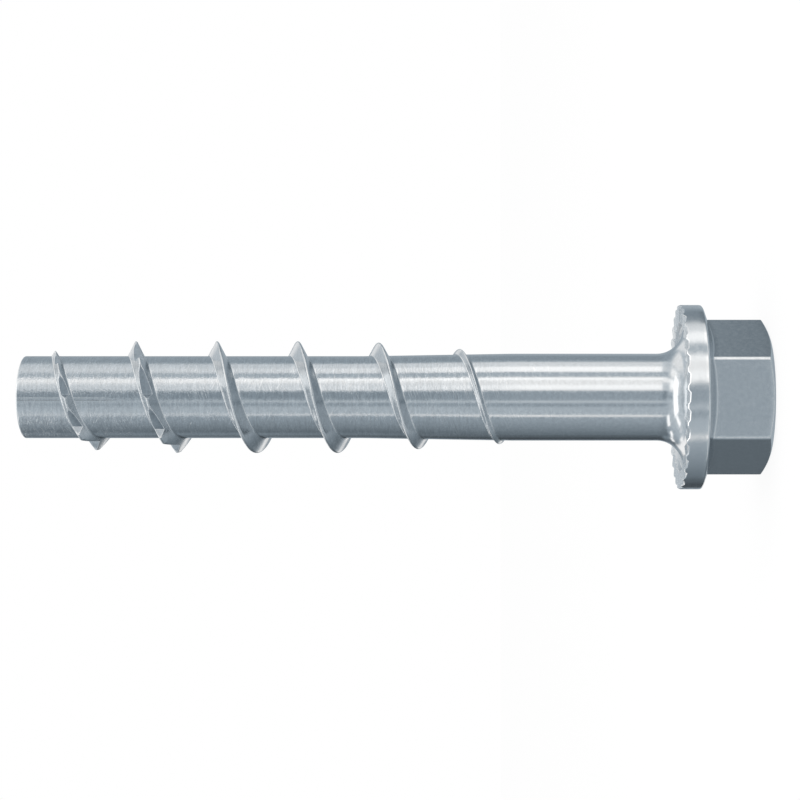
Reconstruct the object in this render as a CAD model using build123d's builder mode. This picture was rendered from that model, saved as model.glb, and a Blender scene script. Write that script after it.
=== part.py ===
"""One-piece concrete screw with a flanged hexagon head.

It stands on its head: the head's end face lies on z = 0 and the tip points up, along +Z. All sizes are in
millimetres. Turns along the thread are counted from the tip, and the thread is right-handed.
"""

import os
from math import cos, radians, sin, sqrt, tan

from build123d import *

os.makedirs("parts", exist_ok=True)

# Head
wrench_size = 15.0
corner_turn = -4.3
end_face_diameter = 14.0
end_chamfer_angle = 21.5
head_height = 7.4

# Flange
flange_diameter = 20.45
rim_height = 2.4
crown_angle = 23.7
crown_inner_radius = 6.0
rim_edge_bevel = 0.2

# Locking teeth under the flange
tooth_count = 32
tooth_turn = 2.2
tooth_inner_radius = 8.0
tooth_run_in = 0.4
gullet_width = 1.25
gullet_deep_side = 0.32
gullet_shallow_side = 0.14
recess_depth = 0.5

# Shaft
shank_diameter = 9.65
core_diameter = 9.1
neck_radius = 2.9
shank_end = 28.2
taper_end = 44.6
total_length = 82.3
tip_edge_bevel = 0.15

# Thread: radius of the crest against turns from the top of the first turn
pitch = 8.98
first_crest = 79.13
first_turn = -0.305
last_turn = 5.86
first_joint = 0.272
crest_radii = [
    (-0.305, 4.52),
    (0.0, 5.1),
    (0.5, 5.88),
    (1.0, 6.2),
    (3.5, 6.2),
    (4.0, 6.06),
    (4.5, 5.78),
    (5.0, 5.35),
    (5.5, 5.22),
    (5.86, 4.78),
]
flank_width = 0.87
crest_flat = 0.22
narrowing = 1.45
root_depth = 0.3
steps_per_turn = 18

# Cutting notches in the first two turns
notches_per_turn = 8
notched_turns = 2
first_notch_radius = 4.76
notch_radius_gain = 0.049
notch_step_angle = 4.5

bearing_level = head_height + rim_height
recess_level = bearing_level - recess_depth
flange_radius = flange_diameter / 2
shank_radius = shank_diameter / 2
core_radius = core_diameter / 2
neck_end = recess_level + neck_radius
neck_outer_radius = shank_radius + neck_radius
full_height = max(radius for turn, radius in crest_radii) - core_radius
crown_level = head_height - (flange_radius - crown_inner_radius) * tan(radians(crown_angle))


def shaft_radius(level):
    """Radius of the plain shaft at a height."""
    share = (level - shank_end) / (taper_end - shank_end)
    return shank_radius + (core_radius - shank_radius) * min(max(share, 0), 1)


def crest_slope(index):
    """Slope of the crest's curve at a listed point, never steeper than its smaller neighbour allows."""
    chords = [(high - low) / (end - start) for (start, low), (end, high) in zip(crest_radii, crest_radii[1:])]
    before = chords[max(index - 1, 0)]
    after = chords[min(index, len(chords) - 1)]
    return 2 * before * after / (before + after) if before * after > 0 else 0


def crest_radius(turn):
    """Radius of the thread's crest, as a smooth curve through the listed points."""
    index = max(i for i in range(len(crest_radii) - 1) if crest_radii[i][0] <= turn + 1e-9)
    (start, low), (end, high) = crest_radii[index], crest_radii[index + 1]
    span = end - start
    t = (turn - start) / span
    blend = t**2 * (3 - 2 * t)
    leave = span * crest_slope(index) * t * (1 - t) ** 2
    arrive = span * crest_slope(index + 1) * t**2 * (1 - t)
    return low + (high - low) * blend + leave - arrive


def crest_level(turn):
    """Height of the thread's crest at a number of turns."""
    return first_crest - pitch * turn


# Thread ridge in half turns, each lofted through its own sections and buried a little in the shaft
joints = [first_turn]
while joints[-1] + 0.6 < last_turn:
    joints.append(first_joint + 0.5 * (len(joints) - 1))
joints.append(last_turn)
ridges = []
for start, end in zip(joints, joints[1:]):
    steps = round((end - start) * steps_per_turn)
    with BuildPart() as ridge:
        for step in range(steps + 1):
            turn = start + (end - start) * step / steps
            crest = crest_radius(turn)
            root = shaft_radius(crest_level(turn))
            height = max(crest - root, 0.1)
            share = 1 - (1 - height / full_height) ** narrowing
            base_half = share * flank_width
            crest_half = share * crest_flat / 2
            buried_half = base_half + root_depth * (base_half - crest_half) / height
            direction = Vector(1, 0, 0).rotate(Axis.Z, -360 * turn)
            across = direction.cross(Vector(0, 0, 1))
            with BuildSketch(Plane(origin=(0, 0, crest_level(turn)), x_dir=direction, z_dir=across)):
                with BuildLine():
                    Polyline(
                        (root - root_depth, -buried_half),
                        (crest, -crest_half),
                        (crest, crest_half),
                        (root - root_depth, buried_half),
                        close=True,
                    )
                make_face()
        loft()

        # Each notch is a flat cut square to the radius where it is deepest, and then steps back up
        for notch in range(notches_per_turn * notched_turns):
            turn = (notch + 1) / notches_per_turn
            if not start < turn < end:
                continue
            floor = first_notch_radius + notch_radius_gain * notch
            crest = crest_radius(turn)
            step_angle = radians(notch_step_angle)
            lean = crest * sin(step_angle) / (crest * cos(step_angle) - floor)
            outside = crest + 1
            direction = Vector(1, 0, 0).rotate(Axis.Z, -360 * turn)
            with BuildSketch(Plane(origin=(0, 0, crest_level(turn) - pitch / 3), x_dir=direction)):
                with BuildLine():
                    Polyline(
                        (floor, 0),
                        (floor, sqrt(outside**2 - floor**2)),
                        (outside, sqrt(outside**2 - floor**2)),
                        (outside, -(outside - floor) * lean),
                        close=True,
                    )
                make_face()
            extrude(amount=pitch * 2 / 3, mode=Mode.SUBTRACT)
    ridges.append(ridge.part)

# Hexagon, with its end chamfered all round
with BuildPart() as hexagon:
    with BuildSketch():
        RegularPolygon(radius=wrench_size / 2, side_count=6, major_radius=False, rotation=corner_turn)
    extrude(amount=head_height)
    with BuildSketch(Plane.XZ):
        with BuildLine():
            Polyline(
                (0, 0),
                (end_face_diameter / 2, 0),
                (flange_radius, (flange_radius - end_face_diameter / 2) * tan(radians(end_chamfer_angle))),
                (flange_radius, head_height),
                (0, head_height),
                close=True,
            )
        make_face()
    revolve(axis=Axis.Z, mode=Mode.INTERSECT)

# Shaft with its flange, joined to the hexagon and the thread
with BuildPart() as concrete_screw:
    with BuildSketch(Plane.XZ):
        with BuildLine():
            Polyline(
                (0, crown_level),
                (crown_inner_radius, crown_level),
                (flange_radius, head_height),
                (flange_radius, bearing_level),
                (tooth_inner_radius + tooth_run_in, bearing_level),
                (tooth_inner_radius, recess_level),
                (neck_outer_radius, recess_level),
            )
            RadiusArc((neck_outer_radius, recess_level), (shank_radius, neck_end), neck_radius)
            Polyline(
                (shank_radius, neck_end),
                (shank_radius, shank_end),
                (core_radius, taper_end),
                (core_radius, total_length),
                (0, total_length),
                (0, crown_level),
            )
        make_face()
    revolve(axis=Axis.Z)
    circles = concrete_screw.edges().filter_by(GeomType.CIRCLE).sort_by(Axis.Z)
    chamfer(circles[-1], tip_edge_bevel)
    chamfer(circles[1], rim_edge_bevel)

    # Ratchet gullets between the locking teeth
    with BuildSketch(Plane.YZ.offset(tooth_inner_radius - 0.2)) as gullet:
        with BuildLine():
            Polyline(
                (-gullet_width / 2, bearing_level - gullet_deep_side),
                (gullet_width / 2, bearing_level - gullet_shallow_side),
                (gullet_width / 2, bearing_level + 1),
                (-gullet_width / 2, bearing_level + 1),
                close=True,
            )
        make_face()
    cutter = extrude(amount=flange_radius - tooth_inner_radius + 1, mode=Mode.PRIVATE)
    with PolarLocations(0, tooth_count, start_angle=-90 + tooth_turn + 180 / tooth_count):
        add(cutter, mode=Mode.SUBTRACT)

    add(hexagon.part)
    for ridge in ridges:
        add(ridge)

concrete_screw.part.label = "concrete_screw"
export_step(concrete_screw.part, "parts/concrete_screw.step")
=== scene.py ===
"""Looks of a one-piece concrete screw with a flanged hexagon head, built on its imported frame.

The screw stands on its head at the origin with its tip up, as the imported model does. Lengths in the classes
are millimetres, which a mesh turns into metres, and the angles in their fields are degrees. A turn is one
full circle along the thread, counted from the top of its first turn and away from the tip, so the direction
at a number of turns is +X turned clockwise about Z by that much, seen from the tip.
"""

import logging
from dataclasses import dataclass, field
from enum import Enum
from functools import partial, reduce
from typing import Any

import bpy
import numpy as np
from mathutils import Matrix, Vector


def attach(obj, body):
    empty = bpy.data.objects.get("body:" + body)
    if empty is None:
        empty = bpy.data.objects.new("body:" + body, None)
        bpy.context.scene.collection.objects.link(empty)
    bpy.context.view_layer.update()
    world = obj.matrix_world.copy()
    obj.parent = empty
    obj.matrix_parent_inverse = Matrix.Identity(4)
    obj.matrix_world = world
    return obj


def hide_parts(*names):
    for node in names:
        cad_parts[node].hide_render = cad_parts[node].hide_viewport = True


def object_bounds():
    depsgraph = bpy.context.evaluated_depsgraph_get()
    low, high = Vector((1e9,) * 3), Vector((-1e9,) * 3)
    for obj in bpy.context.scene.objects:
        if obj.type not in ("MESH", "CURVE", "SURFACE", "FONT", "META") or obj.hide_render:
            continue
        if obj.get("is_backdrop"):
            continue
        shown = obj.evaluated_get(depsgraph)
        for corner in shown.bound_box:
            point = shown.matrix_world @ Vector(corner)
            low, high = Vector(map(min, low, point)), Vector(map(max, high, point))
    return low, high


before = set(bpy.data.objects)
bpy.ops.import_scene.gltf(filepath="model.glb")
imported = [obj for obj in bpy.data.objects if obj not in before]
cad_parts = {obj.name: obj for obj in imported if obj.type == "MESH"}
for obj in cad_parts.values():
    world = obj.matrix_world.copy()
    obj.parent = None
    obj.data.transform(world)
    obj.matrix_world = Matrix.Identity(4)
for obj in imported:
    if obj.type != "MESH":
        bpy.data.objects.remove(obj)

LOG = logging.getLogger("concrete_screw")
CAD_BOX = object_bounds()
CAD_NODE = "concrete_screw"
BODY = "root"

MM = 0.001
FULL_TURN = 2 * np.pi
PHOTO_SIDE = 800
WHITE = (1.0, 1.0, 1.0, 1.0)
NOISE_MIDDLE = 0.5

# Elevation and azimuth, in degrees, at which a direction is overhead and straight behind the screw
OVERHEAD = 90.0
BEHIND = 180.0

# Columns of the grids in one turn, what one cutting notch has of them and of the circle, and the angles in
# radians of columns that stand evenly
COLUMNS = 192
NOTCHES_PER_TURN = 8
NOTCH_COLUMNS = COLUMNS // NOTCHES_PER_TURN
NOTCH_ANGLE = 360 / NOTCHES_PER_TURN
EVEN_ANGLES = -FULL_TURN * np.arange(COLUMNS) / COLUMNS

# Size and height of the circle on the shank where the thread's grid meets the head's rings
SHANK_RADIUS = 4.825
JOIN_LEVEL = 24.0

# Points are welded on a grid of so many steps to the millimetre. The shift keeps round lengths off the line
# between two steps, where a rounding error could part them. Faces that meet at more than the angle have a
# sharp edge.
WELD_STEPS = 1e6
WELD_SHIFT = 0.3
SHARP_ANGLE = 26.0

# Margin for rounding errors in turns and eighths, and the least length to divide by
MARGIN = 1e-9
LEAST_LENGTH = 1e-6

# Places of the points along a rounded corner
FIVE_SHARES = (0, 0.25, 0.5, 0.75, 1)
SIX_SHARES = (0, 0.2, 0.4, 0.6, 0.8, 1)

Colour = tuple[float, ...]
Range = tuple[float, float]
Stops = tuple[tuple[float, float], ...]
Values = np.ndarray | float
Socket = bpy.types.NodeSocket


# Grids


class Zone(Enum):
    """Part of the screw that takes one finish."""

    SHAFT = 0
    HEAD = 1
    SEAT = 2
    RIDGE = 3
    NECK = 4


@dataclass
class Patch:
    """A grid of surface points.

    Rows run along the surface and columns clockwise round the axis. edge is 1 on rounded edges and 0 on
    open surface, and cut is 1 on the floors of notches. A patch that climbs towards the tip is wound the
    other way, so that its faces look outwards. A closed patch has faces between its last column and its
    first.
    """

    points: np.ndarray
    edge: np.ndarray
    zone: Zone
    climbs: bool
    closed: bool
    cut: Values = 0.0

    def quads(self) -> np.ndarray:
        """Corners of the patch's faces.

        Returns:
            Four numbers of the patch's own points for each face, in the order that turns the face outwards.
        """
        index = np.arange(self.edge.size).reshape(self.edge.shape)
        left = index if self.closed else index[:, :-1]
        right = np.roll(index, -1, axis=1) if self.closed else index[:, 1:]
        quads = np.stack([left[:-1], right[:-1], right[1:], left[1:]], axis=-1).reshape(-1, 4)
        return quads[:, ::-1] if self.climbs else quads


def rounded_corner(start: Values, corner: Values, end: Values, share: float) -> Values:
    """Point of the curve that rounds a corner.

    The point is the weighted sum of start, corner and end, with weights (1 - t) squared, 2 t (1 - t) and t
    squared.

    Args:
        start: Where the rounding leaves the first side.
        corner: The sharp corner itself.
        end: Where the rounding joins the second side.
        share: The weight t, from 0 at the start to 1 at the end.

    Returns:
        The point or points, in the same coordinates.
    """
    return (1 - share) ** 2 * start + 2 * share * (1 - share) * corner + share**2 * end


def smooth_step(value: np.ndarray, low: float, high: float) -> np.ndarray:
    """Smooth rise from 0 at low to 1 at high, as 3 t squared minus 2 t cubed."""
    t = np.clip((value - low) / (high - low), 0, 1)
    return t * t * (3 - 2 * t)


def ring(radius: Values, angle: np.ndarray, level: Values) -> np.ndarray:
    """Points at a radius, an angle about Z in radians and a height, with x, y and z last in the array."""
    radius, angle, level = np.broadcast_arrays(radius, angle, level)
    return np.stack([radius * np.cos(angle), radius * np.sin(angle), level], axis=-1)


def welded_mesh(name: str, patches: list[Patch]) -> bpy.types.Mesh:
    """One mesh from patches that meet on shared points.

    Points that agree to a millionth of a millimetre become one vertex. A quad that loses one corner this way
    becomes a triangle, and one that loses more is dropped.

    Args:
        name: Name of the mesh.
        patches: The grids, in millimetres.

    Returns:
        The mesh in metres, with its marks as attributes, a zone for each face and smooth shading.
    """
    points = np.concatenate([patch.points.reshape(-1, 3) for patch in patches])
    keys = np.round(points * WELD_STEPS + WELD_SHIFT).astype(np.int64)
    first, place = np.unique(keys, axis=0, return_index=True, return_inverse=True)[1:]
    place = place.reshape(-1)
    quads = [patch.quads() for patch in patches]
    starts = np.cumsum([0] + [patch.edge.size for patch in patches])
    corners = place[np.concatenate([part + start for part, start in zip(quads, starts)])]
    zones = np.concatenate([np.full(len(part), patch.zone.value) for part, patch in zip(quads, patches)])
    repeated = corners == np.roll(corners, -1, axis=1)
    whole, short = repeated.sum(axis=1) == 0, repeated.sum(axis=1) == 1
    triangles = corners[short][~repeated[short]].reshape(-1, 3)
    mesh = bpy.data.meshes.new(name)
    mesh.from_pydata(points[first] * MM, [], corners[whole].tolist() + triangles.tolist())
    zones = np.concatenate([zones[whole], zones[short]]).astype(np.int32)
    mesh.polygons.foreach_set("material_index", zones)
    mesh.polygons.foreach_set("use_smooth", np.ones(len(mesh.polygons), bool))
    marks = {
        # Edge mark for abrasion of the plating and a painted highlight
        "edge_wear_and_highlight": [patch.edge.reshape(-1) for patch in patches],
        # Notch floors, which take painted shade and a rougher finish
        "notch_floor": [np.broadcast_to(patch.cut, patch.edge.shape).reshape(-1) for patch in patches],
    }
    for label, values in marks.items():
        most = np.zeros(len(first))
        np.maximum.at(most, place, np.concatenate(values))
        mesh.attributes.new(label, "FLOAT", "POINT").data.foreach_set("value", most.astype(np.float32))
    mesh.set_sharp_from_angle(angle=np.radians(SHARP_ANGLE))
    mesh.update()
    return mesh


# Thread


class Stretch(Enum):
    """Stretch of the thread's cross-section, from its crest outwards."""

    CREST = 0
    SHOULDER = 1
    FLANK = 2
    FOOT = 3
    CORE = 4


# Rows of the cross-section on one side of the crest, each with its share of the stretch that it lies on
SECTION_ROWS = (
    *((Stretch.SHOULDER, share) for share in FIVE_SHARES),
    *((Stretch.FLANK, share) for share in (0.1, 0.9)),
    *((Stretch.FOOT, share) for share in FIVE_SHARES),
    *((Stretch.CORE, share) for share in (0.06, 0.25, 0.5, 0.75, 1)),
)

# How far the rows of a stretch follow the notches' edges. The flank's rows do it less towards the foot.
STRETCH_PULL = {Stretch.CREST: 1.0, Stretch.SHOULDER: 1.0, Stretch.FOOT: 0.0, Stretch.CORE: 0.0}

# Edge mark of a land's lip at its inner end and its outer end, for abrasion and a painted highlight. Between
# them it is 1.
LIP_EDGE_MARK = {0: 0.0, 1: 0.3}


@dataclass(frozen=True)
class Ridge:
    """Cross-section of the thread's ridge at each of several turns.

    top and foot are its half widths at the top and on the shaft. along and down are the direction of its
    flank, away from the crest's line and into the shaft. rounding and fillet are the lengths of flank that
    the rounded top corners and foot take. land is 1 where a notch leaves a wide top and 0 on an uncut
    crest. The edge mark, for abrasion and a painted highlight, fades out as the ridge gets low, and cut is 1
    where the ridge is cut deep.
    """

    top: np.ndarray
    foot: np.ndarray
    height: np.ndarray
    along: np.ndarray
    down: np.ndarray
    rounding: np.ndarray
    fillet: np.ndarray
    land: np.ndarray
    edge_mark: np.ndarray
    cut: np.ndarray


@dataclass(frozen=True)
class Thread:
    """Coarse right-hand thread on a tapering shaft, with cutting notches in its first turns.

    crest_radii are the crest's radii at crest_turns. most_rounding and most_fillet are the most that the
    flank's rounded ends take of its length, and most_top_rounding is the same for half the top's width.
    land_tops, the edge mark's heights and cut_depths are half widths of the ridge's top, its heights and a
    notch's depths over which an effect goes from 0 to 1. notch_step, notch_blur, wall_start and column_gap
    are angles round the axis.
    """

    pitch: float = 8.98
    first_crest: float = 79.1
    crest_turns: tuple[float, ...] = (-0.305, 0.0, 0.5, 1.0, 3.5, 4.0, 4.5, 5.0, 5.5, 5.86)
    crest_radii: tuple[float, ...] = (4.52, 5.1, 5.88, 6.2, 6.2, 6.06, 5.78, 5.35, 5.22, 4.78)
    flank_width: float = 0.87
    crest_flat: float = 0.22
    least_foot: float = 0.06
    least_top: float = 0.02
    narrowing: float = 1.45
    crest_rounding: float = 0.2
    land_rounding: float = 0.05
    foot_fillet: float = 0.1
    most_rounding: float = 0.3
    most_fillet: float = 0.45
    most_top_rounding: float = 0.95
    land_tops: Range = (0.14, 0.3)
    edge_mark_heights: Range = (0.02, 0.2)
    cut_depths: Range = (0.03, 0.12)
    shank_radius: float = SHANK_RADIUS
    core_radius: float = 4.55
    shank_end: float = 28.2
    taper_end: float = 44.6
    tip_level: float = 82.3
    tip_rounding: float = 0.15
    tip_margin: float = 0.04
    tip_radii: tuple[float, ...] = (4.25, 3.2, 2.1, 1.0, 0.0)
    notches: int = 16
    first_notch_radius: float = 4.76
    notch_radius_gain: float = 0.049
    notch_step: float = 4.5
    notch_blur: float = 0.3
    wall_start: float = 0.1
    wall_cut: float = 0.8
    column_gap: float = 0.8

    def shaft_radius(self, level: np.ndarray) -> np.ndarray:
        """Radius of the plain shaft at a height: the shank's, then a straight taper, then the core's."""
        share = np.clip((level - self.shank_end) / (self.taper_end - self.shank_end), 0, 1)
        return self.shank_radius + (self.core_radius - self.shank_radius) * share

    def crest_level(self, turn: np.ndarray) -> np.ndarray:
        """Height of the thread's crest: one pitch lower for each turn."""
        return self.first_crest - self.pitch * turn

    def crest_radius(self, turn: np.ndarray) -> np.ndarray:
        """Radius of the crest, as a cubic through the listed radii.

        Its slope at each listed turn is the harmonic mean of its two chords, or 0 where they differ in
        sign, so that the curve never overshoots a listed radius.

        Args:
            turn: Turns along the thread, held within the listed ones.

        Returns:
            The radius at each turn.
        """
        turns, radii = np.array(self.crest_turns), np.array(self.crest_radii)
        chords = np.diff(radii) / np.diff(turns)
        before, after = np.append(chords[0], chords), np.append(chords, chords[-1])
        total = np.where(before * after > 0, before + after, 1)
        slopes = np.where(before * after > 0, 2 * before * after / total, 0)
        turn = np.clip(turn, turns[0], turns[-1])
        index = np.clip(np.searchsorted(turns, turn, side="right") - 1, 0, len(turns) - 2)
        span = turns[index + 1] - turns[index]
        t = (turn - turns[index]) / span
        rise = (radii[index + 1] - radii[index]) * t**2 * (3 - 2 * t)
        bend = slopes[index] * t * (1 - t) ** 2 - slopes[index + 1] * t**2 * (1 - t)
        return radii[index] + rise + span * bend

    def notch_run(self) -> np.ndarray:
        """Angle over which each notch runs down to its deep end.

        The notch is a chord, square to the radius at its deep end, so the cosine of this angle is the
        floor's radius over the crest's radius where the chord leaves the crest. That radius depends on the
        angle, and a few rounds from a first guess settle both.

        Returns:
            The angle of each notch, in degrees.
        """
        guess, rounds = 25.0, 8
        deep = np.arange(1, self.notches + 1) / NOTCHES_PER_TURN
        floor = self.first_notch_radius + self.notch_radius_gain * np.arange(self.notches)
        run = np.full(self.notches, guess)
        for _ in range(rounds):
            run = np.degrees(np.arccos(floor / self.crest_radius(deep - run / 360)))
        return run

    def notch_radius(self, turn: np.ndarray) -> np.ndarray:
        """Radius that the notches leave, or one past every crest between them.

        Before a notch's deep end it is the floor's radius over the cosine of the angle to that end. After it,
        it is the polar form of the straight line from the deep end out to the crest.

        Args:
            turn: Turns along the thread.

        Returns:
            The radius at each turn.
        """
        uncut, least = 99.0, 1e-3
        place = turn * NOTCHES_PER_TURN
        behind, ahead = np.floor(place + MARGIN), np.ceil(place - MARGIN)
        floor_ahead = self.first_notch_radius + self.notch_radius_gain * (ahead - 1)
        floor_behind = self.first_notch_radius + self.notch_radius_gain * (behind - 1)
        chord = floor_ahead / np.cos(np.radians((ahead - place) * NOTCH_ANGLE))
        past, step = np.radians((place - behind) * NOTCH_ANGLE), np.radians(self.notch_step)
        crest = self.crest_radius((behind + self.notch_step / NOTCH_ANGLE) / NOTCHES_PER_TURN)
        across, along = crest * np.sin(step), crest * np.cos(step) - floor_behind
        wall = floor_behind * across / np.maximum(across * np.cos(past) - along * np.sin(past), least)
        chord = np.where((ahead >= 1) & (ahead <= self.notches), chord, uncut)
        on_wall = (behind >= 1) & (behind <= self.notches) & (past < step + MARGIN)
        return np.minimum(chord, np.where(on_wall, wall, uncut))

    def ridge_turns(self, column: np.ndarray) -> tuple[np.ndarray, np.ndarray]:
        """Where the crest's own columns stand, drawn to the notches' edges.

        Columns stand evenly in each eighth of a turn, except that some move to the step's foot and top and to
        the line where the next notch leaves the crest, each with a close column on either side. knots has the
        degrees at which those stand, by their numbers in the eighth.

        Args:
            column: Column numbers along the thread, COLUMNS to the turn.

        Returns:
            The turn of each column at the crest, and 1 for each column on a notch's edge, 0 for the others.
        """
        eighth, inside = column // NOTCH_COLUMNS, column % NOTCH_COLUMNS
        eighth_row = eighth - eighth.min()
        numbers, gap = np.arange(NOTCH_COLUMNS + 1), self.column_gap
        stations = np.repeat((numbers * NOTCH_ANGLE / NOTCH_COLUMNS)[None], eighth_row.max() + 1, axis=0)
        on_edge = np.zeros_like(stations)
        runs = self.notch_run()
        for number in range(self.notches + 1):
            row = number - eighth.min()
            knots = {0: 0.0, NOTCH_COLUMNS: NOTCH_ANGLE}
            if number >= 1:
                step = self.notch_step
                knots |= {1: gap, 3: step - gap, 4: step, 5: step + gap}
                on_edge[row, [0, 4]] = 1
            if number < self.notches:
                start = NOTCH_ANGLE - runs[number]
                knots |= {8: start - gap, 9: start, 10: start + gap, NOTCH_COLUMNS - 1: NOTCH_ANGLE - gap}
                on_edge[row, [9, NOTCH_COLUMNS]] = 1
            places = sorted(knots)
            stations[row] = np.interp(numbers, places, [knots[place] for place in places])
        turns = (eighth + stations[eighth_row, inside] / NOTCH_ANGLE) / NOTCHES_PER_TURN
        return turns, on_edge[eighth_row, inside]

    def ridge(self, turn: np.ndarray) -> Ridge:
        """Shape of the ridge at each turn.

        The ridge is a trapezoid that shrinks as the crest sinks into the shaft: its share of the full width
        is 1 minus (1 minus height over full height) to the power narrowing. A notch cuts its top off flat,
        a little blurred along the thread.

        Args:
            turn: Turns along the thread.

        Returns:
            The ridge's measures, each with one value for each turn.
        """
        crest, root = self.crest_radius(turn), self.shaft_radius(self.crest_level(turn))
        within = (turn >= self.crest_turns[0]) & (turn <= self.crest_turns[-1])
        uncut = np.where(within, np.maximum(crest - root, 0), 0)
        full_height = max(self.crest_radii) - self.core_radius
        width = 1 - (1 - np.clip(uncut / full_height, 0, 1)) ** self.narrowing
        foot = np.maximum(width * self.flank_width, self.least_foot)
        lip = np.maximum(width * self.crest_flat / 2, self.least_top)
        near = self.notch_blur / 360
        before, floor, after = (self.notch_radius(turn + away) for away in (-near, 0, near))
        blurred = (before + floor + after) / 3
        height = np.clip(np.minimum(np.minimum(crest, floor), blurred) - root, 0, uncut)
        left = np.where(uncut > LEAST_LENGTH, height / np.maximum(uncut, LEAST_LENGTH), 1)
        top = foot - (foot - lip) * left
        slant = np.maximum(np.hypot(foot - top, height), LEAST_LENGTH)
        land = smooth_step(top, *self.land_tops)
        rounding = self.crest_rounding + (self.land_rounding - self.crest_rounding) * land
        cut = smooth_step(crest - root - height, *self.cut_depths)
        return Ridge(
            top=top,
            foot=foot,
            height=height,
            along=(foot - top) / slant,
            down=-height / slant,
            rounding=np.minimum(rounding, self.most_rounding * slant),
            fillet=np.minimum(self.foot_fillet, self.most_fillet * slant),
            land=land,
            edge_mark=smooth_step(height, *self.edge_mark_heights),
            cut=cut * (uncut > 0) * self.cut_share(turn),
        )

    def cut_share(self, turn: np.ndarray) -> np.ndarray:
        """How much of the notches' painted shade and rough finish a cut takes: wall_cut on the step that ends
        a notch, 1 elsewhere.

        Args:
            turn: Turns along the thread.

        Returns:
            The share at each turn.
        """
        place = turn * NOTCHES_PER_TURN + MARGIN
        behind = np.floor(place)
        past = (place - behind) * NOTCH_ANGLE
        on_step = (past > self.wall_start) & (past < self.notch_step)
        return np.where(on_step & (behind >= 1) & (behind <= self.notches), self.wall_cut, 1)

    def section(self, turn: np.ndarray, stretch: Stretch, share: float) -> tuple[np.ndarray, ...]:
        """One point of the thread's cross-section at each turn.

        The ridge's top corners and its foot are rounded, and its flanks are straight. On an uncut crest the
        edge mark, for abrasion and a painted highlight, fades over the shoulder, and on a land it lies on the
        lip alone.

        Args:
            turn: Turns along the thread.
            stretch: The stretch that the point lies on.
            share: How far along that stretch, from 0 to 1.

        Returns:
            Distance from the crest's line along the axis, height above the shaft, edge value and cut value.
        """
        ridge = self.ridge(turn)
        top, height, foot, fillet = ridge.top, ridge.height, ridge.foot, ridge.fillet
        none = np.zeros_like(top)
        first = np.stack([top + ridge.rounding * ridge.along, height + ridge.rounding * ridge.down])
        last = np.stack([foot - fillet * ridge.along, -fillet * ridge.down])
        if stretch is Stretch.CREST:
            return none, height, ridge.edge_mark * (1 - ridge.land), ridge.cut
        if stretch is Stretch.SHOULDER:
            inner = top - np.minimum(ridge.rounding, self.most_top_rounding * top)
            out = rounded_corner(inner, top, first[0], share)
            up = rounded_corner(height, height, first[1], share)
            edge_mark = 1 - share + (LIP_EDGE_MARK.get(share, 1.0) - 1 + share) * ridge.land
            return out, up, ridge.edge_mark * edge_mark, ridge.cut * (share == 0)
        if stretch is Stretch.FLANK:
            out, up = first + (last - first) * share
            return out, up, none, none
        if stretch is Stretch.FOOT:
            out = rounded_corner(last[0], foot, foot + fillet, share)
            return out, rounded_corner(last[1], none, none, share), ridge.edge_mark * (0 < share < 1), none
        return foot + fillet + (self.pitch / 2 - foot - fillet) * share, none, none, none

    def patches(self) -> list[Patch]:
        """The threaded shaft as one helical grid, and the rings that close its tip.

        Each helical row keeps its distance from the crest's line, and rows past either end lie on the end's
        own circle, where they are welded into it. The ridge's rows take the ridge's finish as far as the
        crest goes, and the rest of the grid takes the shaft's.

        Returns:
            Five areas of the helical grid, and the tip.
        """
        reach, rim_level = self.pitch / 2, self.tip_level - self.tip_rounding
        first = np.floor(COLUMNS * (self.first_crest - reach - rim_level) / self.pitch)
        last = np.ceil(COLUMNS * (self.first_crest + reach - JOIN_LEVEL) / self.pitch)
        column = np.arange(int(first) - 1, int(last) + 2)
        even = column / COLUMNS
        drawn, on_edge = self.ridge_turns(column)
        rows = [(-1, *row) for row in reversed(SECTION_ROWS)]
        rows += [(0, Stretch.CREST, 0)] + [(1, *row) for row in SECTION_ROWS]
        points, edges, cuts = [], [], []
        for side, stretch, share in rows:
            turn = even + (drawn - even) * STRETCH_PULL.get(stretch, 1 - share)
            out, up, edge, cut = self.section(turn, stretch, share)
            level = np.clip(self.crest_level(turn) + side * out, JOIN_LEVEL, rim_level - self.tip_margin)
            points.append(ring(self.shaft_radius(level) + up, -FULL_TURN * np.mod(turn, 1), level))
            edges.append(np.maximum(edge, on_edge * (stretch in (Stretch.CREST, Stretch.SHOULDER))))
            cuts.append(cut)
        points, edges, cuts = np.array(points), np.array(edges), np.array(cuts)
        core = sum(stretch is Stretch.CORE for stretch, _ in SECTION_ROWS)
        begin, end = np.searchsorted(even, (self.crest_turns[0], self.crest_turns[-1]))
        top_row, last_row, last_column = len(rows) - 1 - core, len(rows) - 1, len(column) - 1
        areas = (
            (0, core, 0, last_column, Zone.SHAFT),
            (core, top_row, 0, begin, Zone.SHAFT),
            (core, top_row, begin, end, Zone.RIDGE),
            (core, top_row, end, last_column, Zone.SHAFT),
            (top_row, last_row, 0, last_column, Zone.SHAFT),
        )
        parts = []
        for low_row, high_row, low_column, high_column, zone in areas:
            area = np.s_[low_row:high_row + 1, low_column:high_column + 1]
            parts.append(Patch(points[area], edges[area], zone, climbs=True, closed=False, cut=cuts[area]))
        return [*parts, self.tip(rim_level)]

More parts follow.
